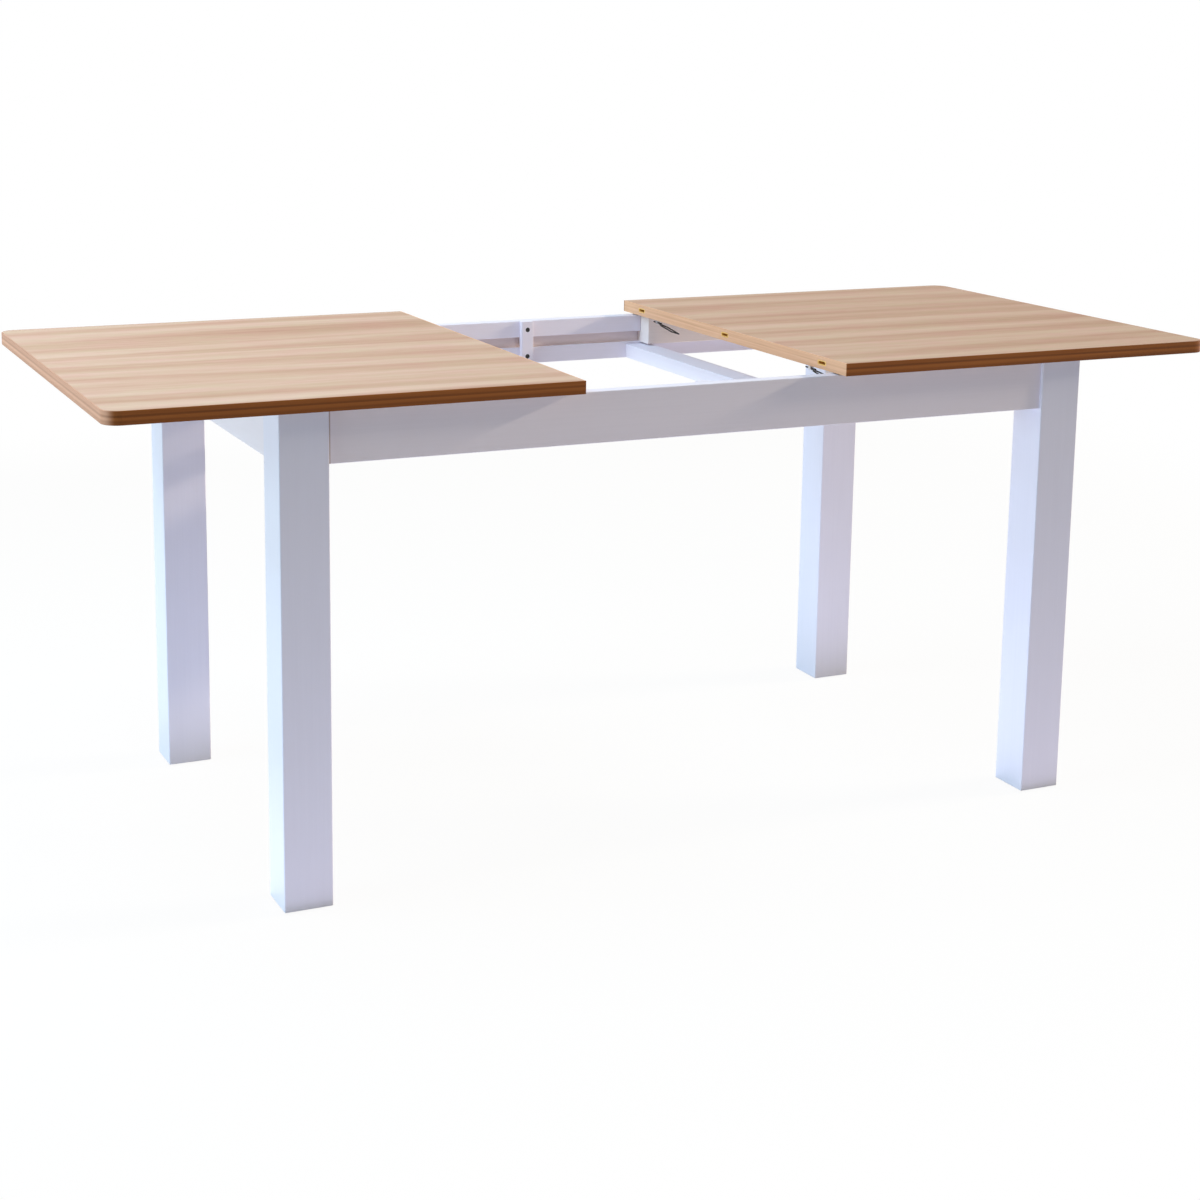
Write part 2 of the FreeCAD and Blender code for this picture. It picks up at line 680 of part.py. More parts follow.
def socket_holes(name):
    """Holes for the sockets in the right half's mating edge."""
    return [socket_hole(f"{name}_{i}", "inner_edge", f"{i} * tenon_side", "mid_top") for i in (-1, 0, 1)]


def runner_section():
    """Section of a runner with the tongue that rides in the long apron's groove."""
    tip = "apron_inner_y + groove_depth - slide_clearance"
    low = "groove_bottom + slide_clearance"
    high = "groove_top - slide_clearance"
    return [("runner_inner_y", "runner_bottom"), ("runner_outer_y", "runner_bottom"), ("runner_outer_y", low),
            (tip, low), (tip, high), ("runner_outer_y", high), ("runner_outer_y", "underside"),
            ("runner_inner_y", "underside")]


def runners(side, sx):
    """Front and back runner of one half, with counterbored holes for their screws."""
    screws = []
    middle = number("runner_mid_y")

    def inner_side(edge):
        return along(X_AXIS)(edge) and edge.CenterOfMass.y < middle

    for end, sy in ENDS.items():
        name = f"{side}_runner_{end}"
        # A front runner is the back runner of the other half turned about the middle.
        made_on = sx * sy
        start = low_corner(made_on, "runner_start", "runner_length")
        runner = prism(f"{name}_body", runner_section(), start, "runner_length", "YZ_Plane")
        ease(runner, "board_ease", inner_side)
        bores = []
        for i, share in enumerate(RUNNER_SCREW_SHARES):
            spot = f"runner_start + {share} * runner_length"
            seat = "runner_bottom + counterbore_depth"
            bores.append(rod(f"{name}_bore_{i}", "counterbore_diameter", "counterbore_depth + overrun",
                             times(made_on, spot), "runner_mid_y", "runner_bottom - overrun", Z_AXIS))
            screws.append(screw(f"{name}_screw_{i}", times(sx, spot), times(sy, "runner_mid_y"), seat,
                                Z_AXIS, f"underside - ({seat}) + screw_bite"))
        keep(cut(f"{name}_drilled", runner, bores), name, end == "front")
    keep(group(f"{side}_runner_screw_set", screws), f"{side}_runner_screws")


def tenon(name, x, y, z):
    """A flat tenon that stands out of a mating edge at x."""
    bar = flat_bar(name, "tenon_width", "tenon_height", f"{x} - tenon_bite", y, z, "tenon_bite + tenon_reach")
    tip = number(f"{x} + tenon_reach")

    def nose(edge):
        return edge.CenterOfMass.x > tip - Part.Precision.confusion()

    return ease(bar, "tenon_nose", nose)


def socket(name, x, y, z):
    """A slotted socket sunk in a mating edge at x."""
    block = flat_bar(f"{name}_block", "socket_width", "socket_height", x, y, z, "socket_length")
    slot = flat_bar(f"{name}_slot", "tenon_width + 2 * socket_clearance", "tenon_height + 2 * socket_clearance",
                    f"{x} - overrun", y, z, "socket_length + 2 * overrun")
    return cut(name, block, [slot])


def left_half():
    edge_band("left")
    keep(half_board("left"), "left_top_board", True)
    keep(mating_band("left"), "left_top_mating_band", True)
    runners("left", -1)
    tenons = [tenon(f"left_tenon_{i}", "-inner_edge", f"{i} * tenon_side", "mid_top") for i in (-1, 0, 1)]
    keep(group("left_tenon_set", tenons), "left_edge_tenons")
    catches()


def right_half():
    edge_band("right")
    keep(cut("right_board_cut", half_board("right"), socket_holes("right_board_hole")), "right_top_board")
    keep(cut("right_mating_band_cut", mating_band("right"), socket_holes("right_band_hole")),
         "right_top_mating_band")
    runners("right", 1)
    sockets = [socket(f"right_socket_{i}", "inner_edge", f"{i} * tenon_side", "mid_top") for i in (-1, 0, 1)]
    keep(group("right_socket_set", sockets), "right_tenon_sockets")
    latches()


# Latches: a wire bail on the right half swings over a catch on the left half

def latches():
    screws = []
    knuckle_run = "knuckle_diameter / 2"
    for end, sy in ENDS.items():
        y = times(sy, "latch_y")
        name = f"latch_bracket_{end}"
        plate_low = "underside - plate_thickness"
        plate = box(f"{name}_plate", f"pivot_x - {knuckle_run}", f"{y} - bracket_width / 2", plate_low,
                    "bracket_length", "bracket_width", "plate_thickness")
        web = box(f"{name}_web", f"pivot_x - {knuckle_run}", f"{y} - knuckle_length / 2", "pivot_z",
                  "knuckle_diameter", "knuckle_length", "latch_drop - plate_thickness")
        roll = rod(f"{name}_roll", "knuckle_diameter", "knuckle_length", "pivot_x",
                   f"{y} - knuckle_length / 2", "pivot_z", Y_AXIS)
        bore = rod(f"{name}_bore", "wire_diameter + 2 * pivot_clearance", "knuckle_length + 2 * overrun",
                   "pivot_x", f"{y} - knuckle_length / 2 - overrun", "pivot_z", Y_AXIS)
        keep(cut(name, fuse(f"{name}_blank", [plate, web, roll]), [bore]), f"latch_bracket_{end}")
        for i, share in enumerate(PLATE_SCREW_SHARES):
            across = f"{y} - bracket_width / 2 + {share} * bracket_width"
            screws.append(plate_screw(f"latch_screw_{end}_{i}", "pivot_x + bracket_length / 2", across,
                                      plate_low, Z_AXIS))
        keep(latch_bail(f"latch_bail_{end}_wire", y), f"latch_bail_{end}")
    keep(group("latch_screw_set", screws), "latch_screws")


def latch_bail(name, y):
    """A closed wire bail drawn in at its waist, stowed back under the top."""
    path = doc.addObject("Sketcher::SketchObject", f"{name}_path")
    side = "bail_width / 2"
    waist = "bail_waist / 2"
    corners = [("0", f"-{side}"), ("0", side), ("bail_neck", waist), ("bail_shoulder", side),
               ("bail_length", side), ("bail_length", f"-{side}"), ("bail_shoulder", f"-{side}"),
               ("bail_neck", f"-{waist}")]
    draw(path, corners)
    ring = doc.addObject("Part::Circle", f"{name}_ring")
    bind(ring, "Radius", "wire_diameter / 2")
    ring.Placement = Placement(Vector(), Rotation(Z_AXIS, Y_AXIS))
    sweep = doc.addObject("Part::Sweep", name)
    sweep.Sections = [ring]
    sweep.Spine = (path, [f"Edge{i}" for i, corner in enumerate(corners, 1)])
    sweep.Solid = True
    sweep.Transition = "Round corner"
    sweep.Placement = Placement(Vector(), Rotation(Y_AXIS, number("bail_hang")))
    put(sweep, "pivot_x", y, "pivot_z")
    return sweep


def catches():
    screws = []
    plate_low = "underside - plate_thickness"
    for end, sy in ENDS.items():
        y = times(sy, "latch_y")
        name = f"latch_catch_{end}"
        plate = box(f"{name}_plate", "-catch_x - catch_length", f"{y} - catch_width / 2", plate_low,
                    "catch_length", "catch_width", "plate_thickness")
        lip = box(f"{name}_lip", "-catch_x - plate_thickness", f"{y} - catch_lip_width / 2",
                  f"{plate_low} - catch_lip_depth", "plate_thickness", "catch_lip_width",
                  "catch_lip_depth + plate_thickness")
        keep(fuse(f"{name}_bent", [plate, lip]), name)
        for i, share in enumerate(PLATE_SCREW_SHARES):
            across = f"{y} - catch_width / 2 + {share} * catch_width"
            screws.append(plate_screw(f"catch_screw_{end}_{i}", "-catch_x - catch_length / 2", across,
                                      plate_low, Z_AXIS))
    keep(group("catch_screw_set", screws), "catch_screws")


# Folding leaf, stowed with its wings face to face

def leaf_wings():
    for place in ("lower", "upper"):
        level = f"{place}_wing"
        wing = slab(f"leaf_wing_{place}_body", "leaf_left", "-fold_face", level, "leaf_length",
                    "wing_width", "top_thickness")
        ease(wing, "leaf_ease", every_edge)
        tools = [socket_hole(f"leaf_wing_{place}_hole", "leaf_left", "wing_tenon_y",
                             f"{level} + top_thickness / 2")]
        for side, sx in SIDES.items():
            tools.append(hinge_recess(f"hinge_recess_{side}_{place}", hinge_start(sx), place))
        keep(cut(f"leaf_wing_{place}_drilled", wing, tools), f"leaf_wing_{place}")


def hinge_start(sx):
    """Left end of a leaf hinge."""
    return f"leaf_left + leaf_length / 2 + {sx} * hinge_side - hinge_length / 2"


def hinge_recess(name, start, place):
    """The recess in a wing's fold edge for one plate of a hinge and for its knuckle."""
    height = "hinge_plate_gap + hinge_leaf + hinge_play"
    low = "fold_level" if place == "upper" else f"fold_level - ({height})"
    near = f"{start} - hinge_play"
    long = "hinge_length + 2 * hinge_play"
    bed = box(f"{name}_bed", near, "hinge_back", low, long, "plate_thickness + overrun", height)
    hollow = rod(f"{name}_hollow", "hinge_knuckle + 2 * hinge_play", long, near, "hinge_axis_y",
                 "fold_level", X_AXIS)
    return fuse(name, [bed, hollow])


def leaf_edge_fittings():
    """A flat tenon in each wing's right edge and a socket in its left edge."""
    tenons = []
    sockets = []
    for place in ("lower", "upper"):
        z = f"{place}_wing + top_thickness / 2"
        tenons.append(tenon(f"leaf_tenon_{place}", "leaf_right", "wing_tenon_y", z))
        sockets.append(socket(f"leaf_socket_{place}", "leaf_left", "wing_tenon_y", z))
    keep(group("leaf_tenon_set", tenons), "leaf_edge_tenons")
    keep(group("leaf_socket_set", sockets), "leaf_tenon_sockets")


def hinge_plate(name, start, place):
    """One plate of a leaf hinge on a wing's fold edge, with its share of the knuckle."""
    rise = 1 if place == "upper" else -1
    low = "fold_level + hinge_plate_gap" if rise > 0 else "fold_level - hinge_plate_gap - hinge_leaf"
    members = [box(f"{name}_flat", start, "hinge_back", low, "hinge_length", "plate_thickness",
                   "hinge_leaf")]
    knuckles = (1,) if rise > 0 else (0, 2)
    for i in knuckles:
        near = f"{start} + {i} * hinge_third + hinge_play"
        long = "hinge_third - 2 * hinge_play"
        members.append(rod(f"{name}_roll_{i}", "hinge_knuckle", long, near, "hinge_axis_y", "fold_level",
                           X_AXIS))
        tab_low = "fold_level" if rise > 0 else "fold_level - hinge_plate_gap"
        members.append(box(f"{name}_tab_{i}", near, "hinge_back", tab_low, long, "plate_thickness",
                           "hinge_plate_gap"))
    bore = rod(f"{name}_bore", "hinge_pin_diameter + 2 * pivot_clearance", "hinge_length + 2 * overrun",
               f"{start} - overrun", "hinge_axis_y", "fold_level", X_AXIS)
    return cut(name, fuse(f"{name}_blank", members), [bore])


def leaf_hinges():
    plates = {"lower": [], "upper": []}
    pins = []
    screws = []
    for side, sx in SIDES.items():
        start = hinge_start(sx)
        for place, found in plates.items():
            found.append(hinge_plate(f"hinge_{side}_{place}", start, place))
            middle = "hinge_plate_gap + hinge_leaf / 2"
            z = f"fold_level + {middle}" if place == "upper" else f"fold_level - ({middle})"
            for i, share in enumerate(HINGE_SCREW_SHARES):
                spot = f"{start} + {share} * hinge_length"
                screws.append(plate_screw(f"hinge_screw_{side}_{place}_{i}", spot, "fold_face", z, -Y_AXIS))
        pins.append(rod(f"hinge_pin_{side}", "hinge_pin_diameter", "hinge_length", start, "hinge_axis_y",
                        "fold_level", X_AXIS))
    keep(group("hinge_lower_set", plates["lower"]), "leaf_hinge_plates_lower")
    keep(group("hinge_upper_set", plates["upper"]), "leaf_hinge_plates_upper")
    keep(group("hinge_pin_set", pins), "leaf_hinge_pins")
    keep(group("hinge_screw_set", screws), "leaf_hinge_screws")


def check():
    """Stop if any object failed or any piece is empty or broken."""
    bad = [item.Name for item in doc.Objects if {"Invalid", "Error"} & set(item.State)]
    bad += [item.Label for item in pieces if item.Shape.isNull() or not item.Shape.isValid()]
    if bad:
        raise RuntimeError(f"failed: {', '.join(bad)}")


legs()
glides()
long_aprons()
end_aprons()
stretchers()
leaf_rails()
rail_dowels()
apron_dowels()
stretcher_dowels()
stop_blocks()
corner_blocks()
left_half()
right_half()
leaf_wings()
leaf_edge_fittings()
leaf_hinges()
doc.recompute()
check()

os.makedirs("parts", exist_ok=True)
for piece in pieces:
    piece.Shape.exportStep(f"parts/{piece.Label}.step")
print(len(pieces), "pieces,", sum(len(piece.Shape.Solids) for piece in pieces), "solids")
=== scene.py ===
import math

import bpy
from mathutils import Matrix, Vector


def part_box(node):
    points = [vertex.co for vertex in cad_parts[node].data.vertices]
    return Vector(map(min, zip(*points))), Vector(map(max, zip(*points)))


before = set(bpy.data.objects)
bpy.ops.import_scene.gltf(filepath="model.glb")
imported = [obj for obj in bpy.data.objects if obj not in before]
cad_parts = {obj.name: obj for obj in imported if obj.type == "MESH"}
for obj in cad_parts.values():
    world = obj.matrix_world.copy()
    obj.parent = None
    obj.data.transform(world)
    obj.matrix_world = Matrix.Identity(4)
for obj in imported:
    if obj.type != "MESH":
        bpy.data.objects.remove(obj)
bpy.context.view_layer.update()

# Extending table in metres: +X along it, +Y to the back, +Z up, origin on the floor under its middle.
X, Y, Z = range(3)

# Camera
EYE = Vector((-1.5248, -3.1917, 1.2857))
VIEW_RIGHT = Vector((0.9103, -0.4139, 0.0117))
VIEW_DOWN = Vector((-0.0656, -0.1722, -0.9829))
VIEW_FORWARD = Vector((0.4088, 0.8939, -0.1839))
LENS_MM = 64.32
SENSOR_MM = 36.0
SHIFT_X = 0.0242
SHIFT_Y = -0.1539

# Main places on the table
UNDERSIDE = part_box("left_top_board")[0].z
TOP_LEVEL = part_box("left_top_board")[1].z
TOP_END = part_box("right_top_edge_band")[1].x
MATING_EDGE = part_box("right_top_mating_band")[0].x
LEG_FACE_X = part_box("leg_back_right")[0].x
APRON_INNER_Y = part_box("long_apron_back")[0].y
GROOVE_MIDDLE = 0.699
GROOVE_HALF = 0.0095

# Where the groove's colour, with its painted light and shade, fades in and out: in from the apron's inner
# face, and past the groove's lips
GROOVE_MOUTH = (0.001, 0.004)
GROOVE_FLOOR = (0.0145, 0.013)
GROOVE_LIP = (0.0008, 0.0002)
# Where the painted shade in the corner at the left joint fades in, towards the leg's face
JOINT_PAINTED_SHADE_EDGE = (0.0036, 0.0028)
# Where the backing's colour fades in, towards the underside of a half top
BACKING_EDGE = (0.0006, 0.0003)

# Albedos, as linear colours
PAINT_PALE = (0.730, 0.737, 0.897)
PAINT_DEEP = (0.710, 0.717, 0.877)
# A warmer, less blue copy of the white paint for the parts under the tops: painted shade where the tops keep
# the bluish light off
SHADED_PAINT_PALE = (0.792, 0.752, 0.857)
SHADED_PAINT_DEEP = (0.772, 0.733, 0.837)
# A warmer, less blue copy of the white paint for the runners under the tops: painted shade
RUNNER_SHADE_PALE = (0.90, 0.81, 0.79)
RUNNER_SHADE_DEEP = (0.86, 0.77, 0.75)
# Groove colour: painted light at its foot and painted shade at its top, which even out how the recess is lit
GROOVE_FOOT_PAINTED_LIGHT = (0.91, 0.80, 0.82)
GROOVE_TOP_PAINTED_SHADE = (0.67, 0.58, 0.60)
# Painted shade in the corners where the long aprons meet the left legs
JOINT_PAINTED_SHADE = (0.42, 0.34, 0.33)
LAMINATE_STOPS = (
    (0.30, (0.414, 0.211, 0.125)),
    (0.42, (0.495, 0.286, 0.187)),
    (0.55, (0.574, 0.370, 0.259)),
    (0.68, (0.643, 0.450, 0.336)),
)
# Tints that wander over the laminate: pinkish to yellowish
LAMINATE_TINTS = ((0.34, (1.02, 0.960, 0.99)), (0.66, (0.985, 1.035, 0.98)))
BACKING_PALE = (0.62, 0.50, 0.38)
BACKING_DEEP = (0.54, 0.42, 0.31)
BAND_SIDE_STOPS = (
    (0.30, (0.143, 0.041, 0.006)),
    (0.50, (0.255, 0.079, 0.015)),
    (0.70, (0.362, 0.123, 0.028)),
)
# The band's brown painted paler on the table's ends: painted light where the side lamps fall
BAND_END_PAINTED_LIGHT = (
    (0.30, (0.391, 0.184, 0.110)),
    (0.50, (0.541, 0.273, 0.171)),
    (0.70, (0.667, 0.362, 0.237)),
)
# The band's brown painted paler on the edges that meet: painted light where the side lamps fall
BAND_MATING_PAINTED_LIGHT = (
    (0.30, (0.537, 0.281, 0.160)),
    (0.50, (0.694, 0.394, 0.239)),
    (0.70, (0.812, 0.488, 0.315)),
)
BEECH_STOPS = (
    (0.30, (0.48, 0.31, 0.17)),
    (0.50, (0.60, 0.42, 0.25)),
    (0.70, (0.68, 0.50, 0.32)),
)
BRASS = (0.85, 0.52, 0.15)
BRASS_DULL = (0.68, 0.40, 0.11)
ZINC = (0.62, 0.63, 0.65)
ZINC_DULL = (0.42, 0.43, 0.45)
BLACKENED = (0.012, 0.011, 0.011)
BLACKENED_WORN = (0.030, 0.028, 0.026)
NYLON = (0.035, 0.033, 0.031)
NYLON_SCUFFED = (0.075, 0.072, 0.068)
FLOOR = (0.60, 0.60, 0.60)
FLOOR_SEEN = (0.95, 0.95, 0.95)

# Grain and clouds under the paint: scales along and across the grain, the grain's share of the tone,
# and the tones between which the colour turns from deep to pale
PAINT_GRAIN_SCALES = (5.0, 260.0)
PAINT_CLOUD_SCALES = (2.0, 14.0)
PAINT_GRAIN_SHARE = 0.45
PAINT_TONES = (0.36, 0.62)

# Figure of the laminate, whose grain runs along X: the pitch of its broad bands in metres, how many pitches
# they drift, the part of the wave that is their edge, their share of the tone, and their sway in metres
BAND_PITCH = 0.122
BAND_DRIFT = 2.2
BAND_EDGES = (-1.0, 0.7)
BAND_SHARE = 0.13
SWAY = 0.04
# Each finer layer: scales along and across the grain, shift, detail, roughness, share of the tone
FIGURE_LAYERS = {
    "clouds": ((0.8, 13.0, 1.0), (1.7, 4.4, 0.0), 1.0, 0.5, 0.28),
    "streaks": ((1.0, 38.0, 1.0), (3.1, 7.7, 0.0), 4.0, 0.6, 0.34),
    "ticks": ((20.0, 110.0, 1.0), (6.2, 1.3, 0.0), 3.0, 0.6, 0.14),
    "fibres": ((7.0, 420.0, 1.0), (0.0, 0.0, 0.0), 3.0, 0.65, 0.11),
}
PORE_EDGES = (0.66, 0.74)
PORE_DEPTH = 0.35
LEAF_FIGURE_SHIFT = (1.7, 0.4, 0.0)

# Tone over an edge band's height, from its foot to its top, and its share beside the fine lines
BAND_PROFILE_TONES = (
    (0.0, 0.24), (0.20, 0.32), (0.40, 0.74), (0.50, 0.72),
    (0.57, 0.18), (0.66, 0.18), (0.73, 0.56), (0.95, 0.52),
)
PROFILE_SHARE = 0.45
MATING_PROFILE_SHARE = 0.12
# Where a band's painted light starts round the outer corners, in from the table's end
BAND_CORNER = (0.016, 0.003)

# Roughness, from the smoothest to the roughest spot
PAINT_ROUGHNESS = (0.36, 0.50)
LAMINATE_ROUGHNESS = (0.42, 0.56)
BAND_ROUGHNESS = (0.40, 0.52)
BEECH_ROUGHNESS = (0.55, 0.70)
NYLON_ROUGHNESS = (0.45, 0.65)
PLATE_ROUGHNESS = (0.28, 0.45)
STEEL_ROUGHNESS = (0.16, 0.30)
WIRE_ROUGHNESS = (0.50, 0.65)
SCREW_ROUGHNESS = (0.45, 0.60)
BRASS_ROUGHNESS = (0.40, 0.55)


class Maker:
    """Builds one material out of nodes."""

    def __init__(self, name):
        self.material = bpy.data.materials.new(name)
        self.material.use_nodes = True
        self.tree = self.material.node_tree
        self.shader = self.tree.nodes["Principled BSDF"]

    def add(self, kind, **settings):
        node = self.tree.nodes.new(kind)
        for key, value in settings.items():
            setattr(node, key, value)
        return node

    def feed(self, socket, value):
        """Wire a socket, or set it to a constant."""
        if isinstance(value, bpy.types.NodeSocket):
            self.tree.links.new(value, socket)
        elif socket.type == "RGBA":
            socket.default_value = (*value, 1.0)
        else:
            socket.default_value = value

    def place(self):
        """A point of the piece, in table coordinates at rest."""
        return self.add("ShaderNodeTexCoord").outputs["Object"]

    def stretch(self, point, scale, shift=(0.0, 0.0, 0.0)):
        node = self.add("ShaderNodeMapping")
        self.feed(node.inputs["Vector"], point)
        node.inputs["Scale"].default_value = scale
        node.inputs["Location"].default_value = shift
        return node.outputs["Vector"]

    def split(self, vector):
        node = self.add("ShaderNodeSeparateXYZ")
        self.feed(node.inputs["Vector"], vector)
        return node.outputs["X"], node.outputs["Y"], node.outputs["Z"]

    def join(self, x, y, z):
        node = self.add("ShaderNodeCombineXYZ")
        for name, value in zip("XYZ", (x, y, z)):
            self.feed(node.inputs[name], value)
        return node.outputs["Vector"]

    def math(self, operation, *values):
        node = self.add("ShaderNodeMath", operation=operation)
        for socket, value in zip(node.inputs, values):
            self.feed(socket, value)
        return node.outputs["Value"]

    def blend(self, *parts):
        """The sum of factors, each times its share."""
        total = None
        for part, share in parts:
            scaled = self.math("MULTIPLY", part, share)
            total = scaled if total is None else self.math("ADD", total, scaled)
        return total

    def between(self, value, low, high):
        """0 up to low, 1 from high, and smooth between them."""
        node = self.add("ShaderNodeMapRange", interpolation_type="SMOOTHSTEP")
        for name, item in (("Value", value), ("From Min", low), ("From Max", high)):
            self.feed(node.inputs[name], item)
        return node.outputs["Result"]

    def spread(self, value, low, high):
        """A number that runs from low to high with a factor."""
        node = self.add("ShaderNodeMapRange")
        for name, item in (("Value", value), ("To Min", low), ("To Max", high)):
            self.feed(node.inputs[name], item)
        return node.outputs["Result"]

    def noise(self, vector, scale=1.0, detail=2.0, roughness=0.5):
        node = self.add("ShaderNodeTexNoise")
        self.feed(node.inputs["Vector"], vector)
        for name, value in (("Scale", scale), ("Detail", detail), ("Roughness", roughness)):
            self.feed(node.inputs[name], value)
        return node.outputs["Fac"]

    def ramp(self, factor, stops):
        node = self.add("ShaderNodeValToRGB")
        self.feed(node.inputs["Fac"], factor)
        elements = node.color_ramp.elements
        while len(elements) < len(stops):
            elements.new(0.5)
        for element, (position, colour) in zip(elements, stops):
            element.position = position
            element.color = (*colour, 1.0)
        return node.outputs["Color"]

    def mix(self, factor, first, second, how="MIX"):
        node = self.add("ShaderNodeMix", data_type="RGBA", blend_type=how)
        factor_socket, first_socket, second_socket = node.inputs[0], node.inputs[6], node.inputs[7]
        for socket, value in ((factor_socket, factor), (first_socket, first), (second_socket, second)):
            self.feed(socket, value)
        return node.outputs[2]

    def bump(self, height, strength, distance):
        node = self.add("ShaderNodeBump")
        for name, value in (("Height", height), ("Strength", strength), ("Distance", distance)):
            self.feed(node.inputs[name], value)
        self.feed(self.shader.inputs["Normal"], node.outputs["Normal"])

    def set(self, **values):
        """Set or wire sockets of the shader: base_color stands for Base Color."""
        for key, value in values.items():
            self.feed(self.shader.inputs[key.replace("_", " ").title().replace("Ior", "IOR")], value)
        return self.material


# Materials

def along_axis(axis, lengthwise, crosswise):
    """Scales of a grain that runs along one axis."""
    return tuple(lengthwise if i == axis else crosswise for i in range(3))


def groove_mask(maker, y, z):
    """1 inside the slide groove of a long apron."""
    depth = maker.math("ABSOLUTE", y)
    past_mouth = maker.between(depth, *(APRON_INNER_Y + inset for inset in GROOVE_MOUTH))
    before_floor = maker.between(depth, *(APRON_INNER_Y + inset for inset in GROOVE_FLOOR))
    level = maker.math("ABSOLUTE", maker.math("SUBTRACT", z, GROOVE_MIDDLE))
    inside = maker.between(level, *(GROOVE_HALF + past for past in GROOVE_LIP))
    return maker.math("MULTIPLY", maker.math("MULTIPLY", past_mouth, before_floor), inside)


def apron_painted_shade(maker, point, colour):
    """The groove's colour, with painted light at its foot and painted shade at its top, and painted shade in
    the corner at the left joint.
    """
    x, y, z = maker.split(point)
    rise = maker.between(z, GROOVE_MIDDLE - GROOVE_HALF, GROOVE_MIDDLE + GROOVE_HALF)
    # Painted light at the groove's foot, painted shade at its top
    groove_painted_shading = maker.mix(rise, GROOVE_FOOT_PAINTED_LIGHT, GROOVE_TOP_PAINTED_SHADE)
    colour = maker.mix(groove_mask(maker, y, z), colour, groove_painted_shading)
    # Painted shade in the corner at the left joint
    joint_shade = maker.between(x, *(gap - LEG_FACE_X for gap in JOINT_PAINTED_SHADE_EDGE))
    return maker.mix(joint_shade, colour, JOINT_PAINTED_SHADE)


def painted_wood(name, axis, pale=PAINT_PALE, deep=PAINT_DEEP, painted_shading=None):
    """White paint through which the wood's grain shows faintly."""
    maker = Maker(name)
    point = maker.place()
    grain_point = maker.stretch(point, along_axis(axis, *PAINT_GRAIN_SCALES))
    grain = maker.noise(grain_point, detail=3.0, roughness=0.6)
    cloud = maker.noise(maker.stretch(point, along_axis(axis, *PAINT_CLOUD_SCALES)), detail=3.0)
    tone = maker.blend((grain, PAINT_GRAIN_SHARE), (cloud, 1.0 - PAINT_GRAIN_SHARE))
    colour = maker.mix(maker.between(tone, *PAINT_TONES), deep, pale)
    if painted_shading:
        colour = painted_shading(maker, point, colour)
    maker.bump(tone, 0.06, 0.0006)
    roughness = maker.spread(tone, *PAINT_ROUGHNESS)
    return maker.set(base_color=colour, roughness=roughness, specular_ior_level=0.45)


def wood_figure(maker, point):
    """Tone, fibres and pores of a board whose grain runs along X."""
    x, y, _ = maker.split(point)
    sway = maker.noise(maker.stretch(point, (1.2, 3.0, 0.0)), detail=3.0)
    lean = maker.math("MULTIPLY", maker.math("SUBTRACT", sway, 0.5), SWAY)
    bent_y = maker.math("ADD", y, lean)
    bent = maker.join(x, bent_y, 0.0)
    drift = maker.noise(maker.stretch(bent, (0.5, 5.0, 1.0), (5.3, 2.1, 0.0)), detail=1.0)
    pitches = maker.math("DIVIDE", bent_y, BAND_PITCH)
    turns = maker.math("ADD", pitches, maker.math("MULTIPLY", drift, BAND_DRIFT))
    wave = maker.math("SINE", maker.math("MULTIPLY", turns, 2.0 * math.pi))
    parts = [(maker.between(wave, *BAND_EDGES), BAND_SHARE)]
    layers = {}
    for name, (scales, shift, detail, roughness, share) in FIGURE_LAYERS.items():
        layers[name] = maker.noise(maker.stretch(bent, scales, shift), detail=detail, roughness=roughness)
        parts.append((layers[name], share))
    pores = maker.noise(maker.stretch(bent, (26.0, 800.0, 1.0)), detail=1.0)
    return maker.blend(*parts), layers["fibres"], maker.between(pores, *PORE_EDGES)


def laminate_face(maker, point):
    """Colour and fibres of the laminate's show face."""
    tone, fibres, pores = wood_figure(maker, point)
    pore_share = maker.math("MULTIPLY", pores, PORE_DEPTH)
    pore_colour = LAMINATE_STOPS[0][1]
    colour = maker.mix(pore_share, maker.ramp(tone, LAMINATE_STOPS), pore_colour)
    hue = maker.noise(maker.stretch(point, (9.0, 26.0, 0.0), (2.4, 8.1, 0.0)), detail=2.0)
    return maker.mix(1.0, colour, maker.ramp(hue, LAMINATE_TINTS), "MULTIPLY"), fibres


def finish_laminate(maker, colour, fibres):
    maker.bump(fibres, 0.10, 0.0003)
    roughness = maker.spread(fibres, *LAMINATE_ROUGHNESS)
    return maker.set(base_color=colour, roughness=roughness, specular_ior_level=0.18)


def laminate(name, shift):
    """Beige wood-grain laminate over a plain backing.

    The shift along X makes the figure run on from half to half when the table is closed.
    """
    maker = Maker(name)
    point = maker.place()
    colour, fibres = laminate_face(maker, maker.stretch(point, (1.0, 1.0, 1.0), (shift, 0.0, 0.0)))
    mottle = maker.noise(maker.stretch(point, (40.0, 40.0, 40.0)), detail=4.0)
    backing = maker.mix(mottle, BACKING_DEEP, BACKING_PALE)
    below = maker.between(maker.split(point)[Z], *(UNDERSIDE + rise for rise in BACKING_EDGE))
    return finish_laminate(maker, maker.mix(below, colour, backing), fibres)


def band_figure(maker, point):
    """Fine lines that run along a band, level with the floor."""
    thin = maker.noise(maker.stretch(point, (5.0, 5.0, 420.0)), detail=3.0, roughness=0.6)
    broad = maker.noise(maker.stretch(point, (1.5, 1.5, 150.0)), detail=2.0)
    return maker.blend((thin, 0.5), (broad, 0.5))


